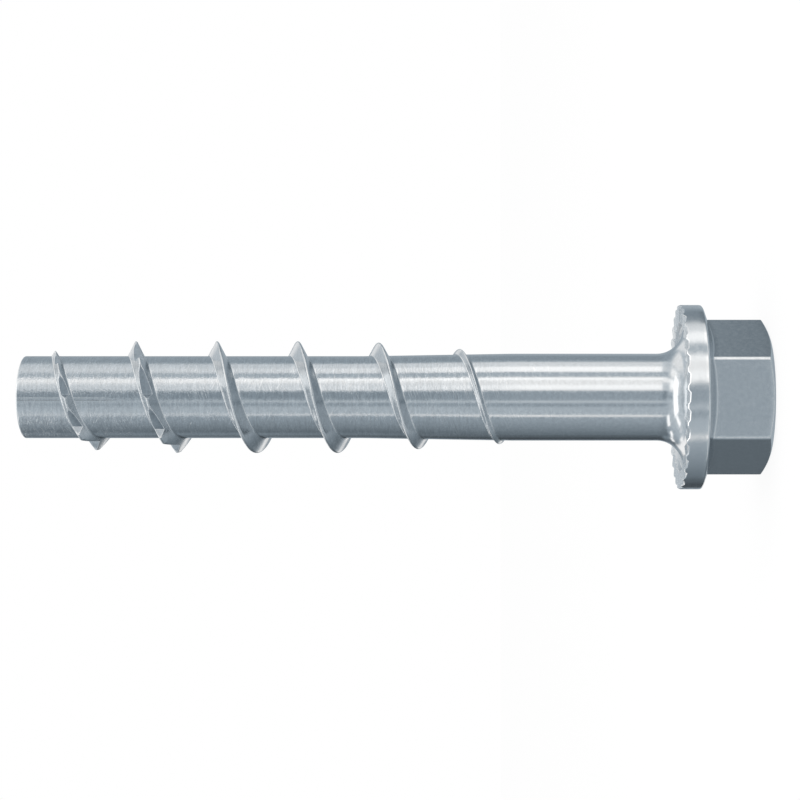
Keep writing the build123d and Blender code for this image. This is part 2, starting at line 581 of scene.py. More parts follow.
    def tip(self, rim_level: float) -> Patch:
        """Rings over the tip's rounded rim to the middle of its end face.

        Args:
            rim_level: Height at which the rim's rounding starts.

        Returns:
            The rings, from the one on which the helical grid ends.
        """
        side, inner, top = self.core_radius, self.core_radius - self.tip_rounding, self.tip_level
        outline = [(side, rim_level - self.tip_margin, 0.0)]
        for share in FIVE_SHARES:
            radius = rounded_corner(side, side, inner, share)
            outline.append((radius, rounded_corner(rim_level, top, top, share), 1.0))
        outline += [(radius, top, 0.0) for radius in self.tip_radii]
        points = np.array([ring(radius, EVEN_ANGLES, level) for radius, level, _ in outline])
        edge = np.array([np.full(COLUMNS, edge_mark) for *_, edge_mark in outline])
        return Patch(points, edge, Zone.SHAFT, climbs=True, closed=True)


# Head


class RingStack:
    """Rings of points round the axis, from the shank down to the end face."""

    def __init__(self) -> None:
        """Starts with no ring."""
        self.rings: list[np.ndarray] = []

    def add(self, radius: Values, angle: Values, level: Values, edge: Values = 0.0) -> None:
        """Adds a ring, from one value or COLUMNS values for each of its measures."""
        measures = (radius, angle, level, edge)
        self.rings.append(np.array([np.broadcast_to(value, COLUMNS) for value in measures]))

    def add_corner(
        self, shares: tuple[float, ...], angle: np.ndarray, radii: tuple[Values, ...],
        levels: tuple[Values, ...], edge: float,
    ) -> None:
        """Adds rings that round a corner.

        Args:
            shares: Places of the rings along the rounding.
            angle: Angle of each column.
            radii: Radius at the rounding's start, at the sharp corner and at the rounding's end.
            levels: Height at the same three.
            edge: Edge value of the rings.
        """
        for share in shares:
            self.add(rounded_corner(*radii, share), angle, rounded_corner(*levels, share), edge)

    def patch(self, first: int, last: int, zone: Zone) -> Patch:
        """The rings between two numbers, both included, as a patch."""
        radius, angle, level, edge = np.stack(self.rings[first:last + 1], axis=1)
        return Patch(ring(radius, angle, level), edge, zone, climbs=False, closed=True)


@dataclass(frozen=True)
class Head:
    """Shank, flange with its locking teeth, and chamfered hexagon.

    A field that ends in shares lists the places of rings between two features, as parts of the way, and one
    that ends in rings pairs each ring's own size with the part of the way that its columns have gone.
    """

    shank_radius: float = SHANK_RADIUS
    shank_levels: tuple[float, ...] = (JOIN_LEVEL, 21.0, 18.0, 15.0, 13.0, 12.5)
    neck_radius: float = 2.9
    neck_steps: int = 16
    recess_level: float = 9.3
    bearing_level: float = 9.8
    tooth_inner_radius: float = 8.0
    tooth_run_in: float = 0.4
    flange_radius: float = 10.225
    tooth_count: int = 32
    tooth_turn: float = 2.2
    gullet_width: float = 1.25
    gullet_deep_side: float = 0.25
    gullet_shallow_side: float = 0.18
    gullet_wall: float = 0.3
    tooth_radii: tuple[float, ...] = (8.9, 9.4, 9.9)
    tooth_bevel: tuple[float, float] = (0.06, 0.11)
    bevel_shares: tuple[float, ...] = (0.0, 0.3, 0.7, 1.0)
    rim_rings: Stops = ((9.2, 0.0), (9.1, 0.35), (8.8, 0.7), (8.5, 1.0), (8.1, 1.0))
    head_height: float = 7.4
    rim_rounding: float = 0.2
    crown_angle: float = 19.5
    crown_shares: tuple[float, ...] = (0.12, 0.4, 0.7, 0.92)
    wrench_size: float = 15.0
    corner_turn: float = 4.3
    corner_rounding: float = 0.42
    corner_columns: int = 4
    side_columns: tuple[int, ...] = (5, 7)
    side_distances: tuple[float, ...] = (0.15, 0.7)
    side_gap: float = 0.18
    crown_fillet: float = 0.15
    side_shares: tuple[float, ...] = (0.08, 0.35, 0.65, 0.92)
    end_radius: float = 7.0
    end_chamfer_angle: float = 21.5
    chamfer_rounding: float = 0.11
    chamfer_shares: tuple[float, ...] = (0.1, 0.5, 0.9)
    end_rings: Stops = ((6.6, 0.1), (5.0, 0.6), (3.0, 1.0), (1.2, 1.0), (0.0, 1.0))

    def tooth_columns(self, radius: float) -> tuple[np.ndarray, np.ndarray, np.ndarray]:
        """Columns that follow the gullets between the locking teeth at a radius.

        A gullet keeps its width, so the angle of each of its lines is the arc sine of the line's distance
        from the gullet's middle over the radius. Each tooth takes six columns: its middle, then the
        gullet's shallow edge, its floor at both sides and in the middle, and its deep edge.

        Args:
            radius: Distance from the axis.

        Returns:
            Angle of each column, depth of the gullet's floor below the teeth there, and edge value.
        """
        half, wall = self.gullet_width / 2, self.gullet_wall / 2
        offsets = np.array([-half - wall, wall - half, 0.0, half - wall, half + wall])
        slope = (self.gullet_shallow_side - self.gullet_deep_side) / self.gullet_width
        middle = (self.gullet_deep_side + self.gullet_shallow_side) / 2
        depths = np.append(0, np.where(abs(offsets) <= half, middle + slope * offsets, 0))
        turned = np.append(0, -np.arcsin(offsets / radius))
        edges = np.array([0.0, 1.0, 0.0, 0.0, 0.0, 1.0])
        tooth, part = np.divmod(np.arange(COLUMNS), COLUMNS // self.tooth_count)
        spacing = FULL_TURN / self.tooth_count
        first_tooth = np.mod(np.radians(self.tooth_turn) - np.pi / 2, spacing) - spacing
        gullet = first_tooth - spacing * (tooth + 0.5)
        angle = gullet + np.where(part == 0, spacing / 2, turned[part])
        return angle, depths[part], edges[part]

    def hexagon_columns(self) -> tuple[np.ndarray, np.ndarray, np.ndarray]:
        """Columns round the hexagon.

        Each of the six sectors, from one side's middle over a corner to the next side's middle, has 32
        columns. Those next to the corner go round its arc, whose centre lies on the corner's own direction
        at the half wrench size less the rounding, over the cosine of 30 degrees. The others stand along the
        two sides.

        Returns:
            Angle, radius and edge value of each column.
        """
        apothem, rounding, arc_end = self.wrench_size / 2, self.corner_rounding, self.corner_columns
        half_corner, sides, edge_mark_end, fade = 30, 6, 5.5, 1.5
        slant, sector = np.radians(half_corner), COLUMNS // sides
        place = np.arange(COLUMNS) + sector // 2
        corner, inside = place // sector, place % sector - sector // 2
        arc = np.radians(np.clip(inside, -arc_end, arc_end) * (half_corner / arc_end))
        x = (apothem - rounding) / np.cos(slant) + rounding * np.cos(arc)
        y = rounding * np.sin(arc)

        # Distances from the arc's end along the side. The last lies within 0.1 mm of the side's middle.
        columns = (arc_end, *self.side_columns, sector // 2)
        distances = (0, *self.side_distances, apothem * np.tan(slant) - self.side_gap)
        along = np.where(abs(inside) > arc_end, np.interp(abs(inside), columns, distances), 0)
        x, y = x - along * np.sin(slant), y + np.sign(inside) * along * np.cos(slant)
        angle = -np.radians(self.corner_turn) - FULL_TURN * corner / sides - np.arctan2(y, x)
        return angle, np.hypot(x, y), smooth_step(edge_mark_end - abs(inside), 0, fade)

    def add_neck(self, stack: RingStack) -> None:
        """Adds the plain shank and the neck's quarter circle down to the recess.

        Args:
            stack: The empty stack of rings.
        """
        for level in self.shank_levels:
            stack.add(self.shank_radius, EVEN_ANGLES, level)
        centre = self.shank_radius + self.neck_radius
        for turned in np.radians(np.linspace(0, 90, self.neck_steps)):
            radius = centre - self.neck_radius * np.cos(turned)
            stack.add(radius, EVEN_ANGLES, self.recess_level + self.neck_radius * (1 - np.sin(turned)))

    def add_bearing_face(self, stack: RingStack) -> None:
        """Adds the recess's slope up to the teeth, and the teeth out to the rim's bevel.

        The slope's rings have a share of the way from the recess up to the bearing face, and their edge mark
        between the gullets. From toothed_share on, the gullets' edges take the edge mark too.

        Args:
            stack: The stack of rings, which ends in the recess.
        """
        slope_rings = ((0.0, 0.0), (0.25, 0.0), (0.6, 0.0), (0.85, 0.0), (1.0, 0.6), (1.2, 0.3))
        toothed_share, inset, turned_share, bevel_gap = 0.7, 0.1, 0.6, 0.04
        inner, depth_range = self.tooth_inner_radius, self.bearing_level - self.recess_level
        angle = self.tooth_columns(inner)[0]
        stack.add(inner - inset, EVEN_ANGLES + turned_share * (angle - EVEN_ANGLES), self.recess_level)
        for share, edge_mark in slope_rings:
            radius = inner + self.tooth_run_in * share
            angle, depth, edge = self.tooth_columns(radius)
            slope = min(self.recess_level + depth_range * share, self.bearing_level)
            edge = np.maximum(edge * (share > toothed_share), edge_mark * (depth == 0))
            stack.add(radius, angle, np.minimum(slope, self.bearing_level - depth), edge)
        for radius in (*self.tooth_radii, self.flange_radius - self.tooth_bevel[0] - bevel_gap):
            angle, depth, edge = self.tooth_columns(radius)
            stack.add(radius, angle, self.bearing_level - depth, edge)

    def add_rim(self, stack: RingStack) -> None:
        """Adds the bevel outside the teeth, the flange's rim and its rounded lower edge.

        Down the rim, the columns go over from the teeth's to even ones.

        Args:
            stack: The stack of rings, which ends at the bevel.
        """
        bevel_start, below_bevel, below_edge = 0.02, 0.05, 0.4
        (inward, down), rim = self.tooth_bevel, self.flange_radius
        angle, depth, _ = self.tooth_columns(rim)
        for share in self.bevel_shares:
            level = self.bearing_level - depth - bevel_start - (down - bevel_start) * share
            stack.add(rim - inward * (1 - share), angle, level, 1.0)
        stack.add(rim, angle, self.bearing_level - depth - down - below_bevel, below_edge)
        for level, share in self.rim_rings:
            stack.add(rim, angle + (EVEN_ANGLES - angle) * share, level)
        size, height, tilt = self.rim_rounding, self.head_height, np.radians(self.crown_angle)
        levels = (height + size, height, height - size * np.sin(tilt))
        stack.add_corner(SIX_SHARES, EVEN_ANGLES, (rim, rim, rim - size * np.cos(tilt)), levels, 1.0)

    def crown_foot(self) -> np.ndarray:
        """Height at which the crown meets the hexagon in each column, before the fillet."""
        inward = self.flange_radius - self.hexagon_columns()[1]
        return self.head_height - inward * np.tan(np.radians(self.crown_angle))

    def add_crown(self, stack: RingStack) -> None:
        """Adds the conical crown and its fillet, while the columns go over to the hexagon's.

        Args:
            stack: The stack of rings, which ends at the rim's lower edge.
        """
        angle, radius, _ = self.hexagon_columns()
        foot, size, tilt = self.crown_foot(), self.crown_fillet, np.radians(self.crown_angle)
        start = self.flange_radius - self.rim_rounding * np.cos(tilt)
        start_level = self.head_height - self.rim_rounding * np.sin(tilt)
        end, end_level = radius + size * np.cos(tilt), foot + size * np.sin(tilt)
        for share in self.crown_shares:
            turned = EVEN_ANGLES + (angle - EVEN_ANGLES) * share
            stack.add(start + (end - start) * share, turned, start_level + (end_level - start_level) * share)
        stack.add_corner(SIX_SHARES, angle, (end, radius, radius), (end_level, foot, foot - size), 0.0)

    def add_hexagon(self, stack: RingStack) -> None:
        """Adds the hexagon's sides, its chamfer with a rounded edge at both ends, and its end face.

        The chamfer is a cone through the circle of end_radius on the end face, so its height in a column is
        the column's radius less end_radius, times the tangent of the chamfer's angle.

        Args:
            stack: The stack of rings, which ends at the crown's fillet.
        """
        end_face_edge_mark = 0.6
        angle, radius, edge_mark = self.hexagon_columns()
        slope, size, end = np.radians(self.end_chamfer_angle), self.chamfer_rounding, self.end_radius
        inward, down = size * np.cos(slope), size * np.sin(slope)
        foot, lip = self.crown_foot(), (radius - end) * np.tan(slope)
        for share in self.side_shares:
            stack.add(radius, angle, foot - size + (lip + size - foot + self.crown_fillet) * share, edge_mark)
        radii, levels = (radius, radius, radius - inward), (lip + size, lip, lip - down)
        stack.add_corner(FIVE_SHARES, angle, radii, levels, 1.0)
        for share in self.chamfer_shares:
            across = radius - inward + (end + inward - (radius - inward)) * share
            stack.add(across, angle, (across - end) * np.tan(slope))
        stack.add_corner(FIVE_SHARES, angle, (end + inward, end, end - size), (down, 0.0, 0.0), end_face_edge_mark)
        for across, share in self.end_rings:
            stack.add(across, angle + (EVEN_ANGLES - angle) * share, 0.0)

    def patches(self) -> list[Patch]:
        """The surface from the shank down over the flange and hexagon to the middle of the end face.

        It is a stack of rings. Between two features the columns of one ring go straight over into those of
        the next: a point at share t is (1 - t) times the first ring plus t times the second, in radius,
        angle and level.

        Returns:
            The neck, the bearing face and the rest of the head.
        """
        stack, bounds = RingStack(), [0]
        for add_rings in (self.add_neck, self.add_bearing_face):
            add_rings(stack)
            bounds.append(len(stack.rings) - 1)
        for add_rings in (self.add_rim, self.add_crown, self.add_hexagon):
            add_rings(stack)
        bounds.append(len(stack.rings) - 1)
        zones = (Zone.NECK, Zone.SEAT, Zone.HEAD)
        return [stack.patch(first, last, zone) for first, last, zone in zip(bounds, bounds[1:], zones)]


# Shader nodes


def tone(level: float) -> Colour:
    """Light of a level, a little blue where it is dim and a little warm where it is bright.

    Args:
        level: How bright it is, 1 for white.

    Returns:
        Red, green and blue, and 1 for alpha.
    """
    most_blue, fall, fall_start, fall_span, gain = 0.16, 0.19, 0.3, 0.8, 0.8
    blue = most_blue - fall * min(max((level - fall_start) / fall_span, 0.0), 1.0)
    return (level * (1 - blue), level, level * (1 + blue * gain), 1.0)


class Web:
    """Shader nodes of one tree, made and linked in one call each."""

    def __init__(self, tree: bpy.types.NodeTree) -> None:
        """Keeps the tree and empties it."""
        self.tree = tree
        tree.nodes.clear()

    def node(self, kind: str, inputs: dict[Any, Any] | None = None, **settings: Any) -> bpy.types.Node:
        """Makes a node.

        Args:
            kind: Blender's name for the node's type.
            inputs: Value or socket for each input, by name or place.
            settings: Properties to set on the node first.

        Returns:
            The node.
        """
        made = self.tree.nodes.new(kind)
        for name, value in settings.items():
            setattr(made, name, value)
        for key, value in (inputs or {}).items():
            self.feed(made.inputs[key], value)
        return made

    def feed(self, socket: Socket, value: Any) -> None:
        """Links an input to another socket, or sets its value.

        Args:
            socket: The input.
            value: The socket or the value.
        """
        if isinstance(value, Socket):
            self.tree.links.new(value, socket)
        else:
            socket.default_value = value

    def maths(self, operation: str, *values: Any, clamp: bool = False) -> Socket:
        """Result of a Math node on one to three values or sockets."""
        made = self.node("ShaderNodeMath", dict(enumerate(values)), operation=operation, use_clamp=clamp)
        return made.outputs[0]

    def total(self, *values: Any) -> Socket:
        """Sum of values or sockets, added one after the other."""
        return reduce(partial(self.maths, "ADD"), values)

    def product(self, *values: Any) -> Socket:
        """Product of values or sockets, multiplied one after the other."""
        return reduce(partial(self.maths, "MULTIPLY"), values)

    def distance(self, value: Socket, place: float) -> Socket:
        """How far a value is from a place, on either side."""
        return self.maths("ABSOLUTE", self.maths("SUBTRACT", value, place))

    def vector(self, operation: str, *values: Any) -> Socket:
        """Result of a Vector Math node on one or two vectors or sockets."""
        return self.node("ShaderNodeVectorMath", dict(enumerate(values)), operation=operation).outputs[0]

    def parts(self, vector: Socket) -> list[Socket]:
        """The x, y and z of a vector."""
        return self.node("ShaderNodeSeparateXYZ", {0: vector}).outputs[:3]

    def drawn_out(self, position: Socket, length: Socket, width: Socket) -> Socket:
        """Position on which a noise is drawn out across Z: x and y over a length, and z over a width.

        Args:
            position: The position.
            length: Size of the noise's lumps across Z.
            width: Their size along Z.

        Returns:
            The scaled position.
        """
        pairs = zip(self.parts(position), (length, length, width))
        scaled = (self.maths("DIVIDE", part, size) for part, size in pairs)
        return self.node("ShaderNodeCombineXYZ", dict(enumerate(scaled))).outputs[0]

    def spread(
        self, value: Any, low: Any, high: Any, start: Any = 0.0, end: Any = 1.0, smooth: bool = True,
    ) -> Socket:
        """Value carried from one range onto another.

        Args:
            value: The value.
            low: Value that gives start. It may be above high.
            high: Value that gives end.
            start: Result at low and past it.
            end: Result at high and past it.
            smooth: Whether the result changes along a smooth curve, or else straight.

        Returns:
            The result.
        """
        kind = "SMOOTHSTEP" if smooth else "LINEAR"
        inputs = {"Value": value, "From Min": low, "From Max": high, "To Min": start, "To Max": end}
        return self.node("ShaderNodeMapRange", inputs, interpolation_type=kind).outputs["Result"]

    def mix(self, share: Any, first: Any, second: Any, kind: str = "Color", blend: str = "MIX") -> Socket:
        """First mixed with second.

        Args:
            share: How much of second, from 0 to 1.
            first: The first colour or number.
            second: The second one.
            kind: Color, or Float for numbers.
            blend: How colours are mixed.

        Returns:
            The mixed colour or number.
        """
        made = self.node("ShaderNodeMix", data_type="RGBA" if kind == "Color" else "FLOAT", blend_type=blend)
        values = {"Factor_Float": share, "A_" + kind: first, "B_" + kind: second}
        for socket in made.inputs:
            if socket.identifier in values:
                self.feed(socket, values[socket.identifier])
        return next(socket for socket in made.outputs if socket.identifier == "Result_" + kind)

    def blend(self, share: Any, first: Any, second: Any) -> Socket:
        """First number mixed with second."""
        return self.mix(share, first, second, "Float")

    def ramp(self, degrees: Socket, stops: Stops) -> Socket:
        """Light that changes with an elevation in degrees.

        Args:
            degrees: The elevation.
            stops: Elevation and level of each stop, from the lowest up.

        Returns:
            The colour, straight between two stops and held past the end ones.
        """
        made = self.node("ShaderNodeValToRGB", {0: self.spread(degrees, -OVERHEAD, OVERHEAD, smooth=False)})
        elements = made.color_ramp.elements
        for _ in stops[2:]:
            elements.new(0.5)
        for element, (place, _) in zip(elements, stops):
            element.position = (place + OVERHEAD) / (2 * OVERHEAD)
        for element, (_, level) in zip(elements, stops):
            element.color = tone(level)
        return made.outputs["Color"]

    def noise(self, vector: Socket, scale: Any, detail: float = 2.0, roughness: float = 0.5) -> Socket:
        """Value of a noise texture, around NOISE_MIDDLE."""
        inputs = {"Vector": vector, "Scale": scale, "Detail": detail, "Roughness": roughness}
        return self.node("ShaderNodeTexNoise", inputs, noise_dimensions="3D").outputs["Fac"]

    def mark(self, name: str) -> Socket:
        """Value of one of the mesh's own marks."""
        return self.node("ShaderNodeAttribute", attribute_name=name).outputs["Fac"]

    def group(self, tree: bpy.types.NodeTree, **inputs: Any) -> Socket:
        """Places a node group, and gives what it puts out."""
        return self.node("ShaderNodeGroup", inputs, node_tree=tree).outputs[0]

    def background(self, colour: Any, strength: float = 1.0) -> Socket:
        """Light of one colour or of a socket's."""
        return self.node("ShaderNodeBackground", {"Color": colour, "Strength": strength}).outputs[0]

    def either(self, share: Any, first: Socket, second: Socket) -> Socket:
        """First shader mixed with second."""
        return self.node("ShaderNodeMixShader", {0: share, 1: first, 2: second}).outputs[0]

    def straight_ray(self) -> Socket:
        """1 on camera and transmission rays, and 0 on others."""
        light = self.node("ShaderNodeLightPath").outputs
        return self.maths("MAXIMUM", light["Is Camera Ray"], light["Is Transmission Ray"])


def new_material(name: str) -> tuple[bpy.types.Material, Web]:
    """A new material that has no nodes yet.

    Args:
        name: Name of the material.

    Returns:
        The material and its web.
    """
    made = bpy.data.materials.new(name)
    made.use_nodes = True
    return made, Web(made.node_tree)


def new_group(name: str, inputs: dict[str, float | Colour]) -> tuple[Web, Any]:
    """A new shader node group that takes in the position in millimetres.

    Args:
        name: Name of the group.
        inputs: Default of each further input, a number or a vector.

    Returns:
        The group's web and its inputs' sockets.
    """
    tree = bpy.data.node_groups.new(name, "ShaderNodeTree")
    tree.interface.new_socket("Position", in_out="INPUT", socket_type="NodeSocketVector")
    for label, value in inputs.items():
        kind = "Vector" if isinstance(value, tuple) else "Float"
        socket = tree.interface.new_socket(label, in_out="INPUT", socket_type="NodeSocket" + kind)
        socket.default_value = value
    web = Web(tree)
    return web, web.node("NodeGroupInput").outputs


def closed_group(web: Web, label: str, value: Socket) -> bpy.types.NodeTree:
    """The group of a web, finished with one output.

    Args:
        web: The web that new_group made.
        label: Name of the output.
        value: What it puts out.

    Returns:
        The group.
    """
    web.tree.interface.new_socket(label, in_out="OUTPUT", socket_type="NodeSocketFloat")
    web.node("NodeGroupOutput", {label: value})
    return web.tree


def new_object(name: str, data: bpy.types.ID) -> bpy.types.Object:
    """A new object in the scene.

    Args:
        name: Name of the object.
        data: Its mesh, lamp or camera.

    Returns:
        The object.
    """
    made = bpy.data.objects.new(name, data)
    bpy.context.scene.collection.objects.link(made)
    return made


# Finishes


class SurfaceEffects:
    """Node groups for the marks that the finishes share. Positions come in as millimetres."""

    def __init__(self) -> None:
        """Builds every group once."""
        self.streaks = self._streaks()
        self.speckle = self._speckle()
        self.scratches = self._scratches()
        self.wear_and_highlight = self._wear_and_highlight()

    def _streaks(self) -> bpy.types.NodeTree:
        """Rolling marks: noise drawn out round the axis and squeezed along it.

        Returns:
            The group, with the height of the marks as its output.
        """
        web, given = new_group("Rolling marks", {"Length": 1.6, "Width": 0.12})
        drawn = web.drawn_out(given["Position"], given["Length"], given["Width"])
        return closed_group(web, "Height", web.noise(drawn, scale=1.0, detail=3.0, roughness=0.6))

    def _speckle(self) -> bpy.types.NodeTree:
        """Lumps of the plating: fine noise over coarser noise.

        Returns:
            The group, with the lumps' height as its output.
        """
        finer, coarse_share, fine_share = 2.6, 0.55, 0.45
        web, given = new_group("Plating lumps", {"Size": 0.4})
        scale = web.maths("DIVIDE", 1.0, given["Size"])
        coarse = web.noise(given["Position"], scale, roughness=0.55)
        fine = web.noise(given["Position"], web.product(scale, finer), roughness=0.6)
        height = web.total(web.product(coarse, coarse_share), web.product(fine, fine_share))
        return closed_group(web, "Height", height)

    def _scratches(self) -> bpy.types.NodeTree:
        """Thin scratches, where a drawn-out noise crosses its middle value. Coarse noise breaks them up.

        Returns:
            The group, with a mask that is 1 on scratches as its output.
        """
        shift, patch_scale, patch_edges, lowering = (7.3, 2.1, 4.4), 0.55, (0.75, 0.85), 0.5
        defaults = {"Turn": (0.0, 0.0, 0.0), "Length": 7.0, "Spacing": 0.32, "Width": 0.022, "Amount": 0.5}
        web, given = new_group("Handling scratches", defaults)
        turned = web.node("ShaderNodeVectorRotate", {"Vector": given["Position"], "Rotation": given["Turn"]},
                          rotation_type="EULER_XYZ").outputs[0]
        drawn = web.drawn_out(turned, given["Length"], given["Spacing"])
        thin = web.noise(drawn, scale=1.0, detail=1.0, roughness=0.4)
        line = web.spread(web.distance(thin, NOISE_MIDDLE), 0.0, given["Width"], 1.0, 0.0)
        patchy = web.noise(web.vector("ADD", turned, shift), patch_scale, detail=1.0)
        lowered = web.product(given["Amount"], lowering)
        low, high = (web.maths("SUBTRACT", edge, lowered) for edge in patch_edges)
        return closed_group(web, "Mask", web.product(line, web.spread(patchy, low, high)))

    def _wear_and_highlight(self) -> bpy.types.NodeTree:
        """Edges made brighter, unevenly: abrasion of the plating and a painted highlight.

        Returns:
            The group, with a mask that is 1 on abraded edges with a painted highlight as its output.
        """
        web, given = new_group("Edge wear and painted highlight", {"Edge": 0.0, "Amount": 0.6})
        patches, least, edges = (0.3, 0.65), 0.35, (0.3, 0.95)
        uneven = web.spread(web.noise(given["Position"], scale=1.7), *patches, least, 1.0)
        wear_and_highlight_mask = web.product(web.spread(given["Edge"], *edges), uneven)
        return closed_group(web, "Mask", web.maths("MULTIPLY", wear_and_highlight_mask, given["Amount"], clamp=True))


@dataclass(frozen=True)
class Marks:
    """Sockets that the parts of one finish share.

    height is the height above the end face. rolled is 1 on the rolled part of the screw, cut on the floors of
    notches, which take painted shade, the edge mask on edges, which are partly abraded and partly given a
    painted highlight, and scratch on scratches. lumps, streaks and bands are noises. The parting line has a
    ridge with a painted highlight and a painted shadow beside it, or neither.
    """

    height: Socket
    rolled: Socket
    lumps: Socket
    streaks: Socket
    bands: Socket
    scratch: Socket
    wear_and_highlight_mask: Socket
    cut: Socket
    parting_ridge_and_highlight: Socket | None
    parting_shadow_mask: Socket | None


@dataclass(frozen=True)
class ZincFinish:
    """Bright zinc plating on cold-formed steel.

    Depths are heights of the relief in millimetres, and fields that end in tone, spread or amount are
    strengths. rolled_heights, tip_lump_heights and tip_rough_heights are heights above the end face between
    which the rolling marks, the coarser lumps and the greater roughness near the tip come in. Each row of
    scratches is their turn, length and spacing.
    """

    name: str
    colour: Colour = (0.655, 0.688, 0.712)
    # Colour that edges go over to: partly abraded plating, partly a painted highlight
    wear_and_highlight_colour: Colour = (0.80, 0.82, 0.83)
    roughness: float = 0.12
    roughness_spread: float = 0.06
    lump_size: float = 0.4
    lump_depth: float = 0.003
    rolled_lump_depth: float = 0.01
    tip_lump_depth: float = 0.024
    tip_lump_heights: Range = (42.0, 76.0)
    rolled_heights: Range = (27.0, 34.0)
    streak_depth: float = 0.004
    streak_size: tuple[float, float] = (1.2, 0.2)
    band_size: tuple[float, float] = (5.0, 0.5)
    band_range: Range = (0.3, 0.7)
    band_tones: tuple[float, float] = (0.97, 1.02)
    lump_range: Range = (0.35, 0.7)
    tone_spread: float = 0.4
    streak_tone: float = 0.4
    tip_roughness: float = 0.06
    tip_rough_heights: Range = (56.0, 80.0)
    scratches: tuple[tuple[Colour, float, float], ...] = (
        ((0.1, 0.35, 0.0), 7.0, 0.32),
        ((-0.1, -0.45, 0.3), 5.0, 0.45),
    )
    scratch_amount: float = 0.55
    scratch_depths: tuple[float, float] = (0.001, 0.0022)
    scratch_brightness: float = 0.5
    edge_amount: float = 0.5
    edge_roughness: float = 0.1
    # Darker colour of the notch floors: painted shade
    notch_shade_colour: Colour = (0.41, 0.46, 0.50)
    cut_roughness: float = 0.34
    cut_lump_depth: float = 0.01
    cut_tone_spread: float = 0.9
    parting_line: bool = False
    # Places of the parting ridge and of its painted shadow
    parting_places: tuple[float, float] = (-0.38, -0.62)
    parting_depth: float = 0.008
    # Painted highlight on the parting ridge, and painted shadow beside it
    parting_highlight: float = 0.5
    parting_shade: float = 0.2

    def material(self, effects: SurfaceEffects) -> bpy.types.Material:
        """The finish as a material.

        Args:
            effects: The shared node groups.

        Returns:
            The material, which reads Object coordinates and the mesh's edge mark and notch floor attributes.
        """
        made, web = new_material(self.name)
        marks = self._marks(web, effects)
        relief = {"Strength": 1.0, "Distance": MM, "Height": self._relief(web, marks)}
        shader = web.node("ShaderNodeBsdfPrincipled", {
            "Base Color": self._colour(web, marks),
            "Roughness": self._roughness(web, marks),
            "Normal": web.node("ShaderNodeBump", relief).outputs[0],
            "Metallic": 1.0,
        })
        web.node("ShaderNodeOutputMaterial", {"Surface": shader.outputs[0]})
        return made

    def _marks(self, web: Web, effects: SurfaceEffects) -> Marks:
        """The marks that the finish is made of.

        Args:
            web: The material's web.
            effects: The shared node groups.

        Returns:
            Their sockets.
        """
        position = web.vector("SCALE", web.node("ShaderNodeTexCoord").outputs["Object"])
        position.node.inputs["Scale"].default_value = 1 / MM
        height, edge = web.parts(position)[2], web.mark("edge_wear_and_highlight")
        streaks, bands = (
            web.group(effects.streaks, Position=position, Length=length, Width=width)
            for length, width in (self.streak_size, self.band_size)
        )
        scratches = [
            web.group(
                effects.scratches, Position=position, Turn=turn, Length=length, Spacing=spacing,
                Amount=self.scratch_amount,
            )
            for turn, length, spacing in self.scratches
        ]
        # The parting ridge, and its painted shadow beside it
        ridge, dark = (
            self._parting(web, position, x) if self.parting_line else None for x in self.parting_places
        )
        return Marks(
            height=height,
            rolled=web.spread(height, *self.rolled_heights),
            lumps=web.group(effects.speckle, Position=position, Size=self.lump_size),
            streaks=streaks,
            bands=bands,
            scratch=web.maths("MAXIMUM", *scratches),
            wear_and_highlight_mask=web.group(effects.wear_and_highlight, Position=position, Edge=edge, Amount=self.edge_amount),
            cut=web.mark("notch_floor"),
            parting_ridge_and_highlight=ridge,
            parting_shadow_mask=dark,
        )

    def _parting(self, web: Web, position: Socket, place: float) -> Socket:
        """A fine strip along the core near the tip, for the ridge left where the rolling dies met and for the
        painted shadow beside it.

        It lies on the side away from +Y, and ends short of the tip's end face.

        Args:
            web: The material's web.
            position: The position in millimetres.
            place: X of the line.

        Returns:
            A mask that is 1 on the line.
        """
        half_width, side, start, end = (0.03, 0.09), (0.0, 0.5), (71.0, 73.0), (82.1, 82.25)
        x, y, z = web.parts(position)
        line = web.spread(web.distance(x, place), *half_width, 1.0, 0.0)
        length = web.product(web.spread(z, *start), web.spread(z, *end, 1.0, 0.0))
        return web.product(line, web.spread(y, *side, 1.0, 0.0), length)

    def _relief(self, web: Web, marks: Marks) -> Socket:
        """Height of the surface: lumps that grow towards the tip, rolling marks, rough cuts and scratches.

        Args:
            web: The material's web.
            marks: The finish's marks.

        Returns:
            The height in millimetres.
        """
        depths = (self.rolled_lump_depth, self.tip_lump_depth)
        rolled_depth = web.spread(marks.height, *self.tip_lump_heights, *depths)
        relief = web.total(
            web.product(marks.lumps, web.blend(marks.rolled, self.lump_depth, rolled_depth)),
            web.product(marks.streaks, marks.rolled, self.streak_depth),
            web.product(marks.lumps, marks.cut, self.cut_lump_depth),
            web.product(marks.scratch, web.blend(marks.rolled, *self.scratch_depths)),
        )
        if marks.parting_ridge_and_highlight is None:
            return relief
        return web.total(relief, web.product(marks.parting_ridge_and_highlight, self.parting_depth))

    def _colour(self, web: Web, marks: Marks) -> Socket:
        """Colour of the plating, mottled and banded, with painted shade in the notches and bright edges,
        which are partly abraded plating and partly a painted highlight.

        Args:
            web: The material's web.
            marks: The finish's marks.

        Returns:
            The colour.
        """
        banded = web.blend(marks.rolled, 1.0, web.spread(marks.bands, *self.band_range, *self.band_tones))
        mottled = web.blend(marks.cut, self.tone_spread, self.cut_tone_spread)
        lumps, streaks = (web.maths("SUBTRACT", mark, NOISE_MIDDLE) for mark in (marks.lumps, marks.streaks))
        streaky = web.product(streaks, web.product(marks.rolled, self.streak_tone))
        shade = web.total(banded, web.product(lumps, mottled), streaky)
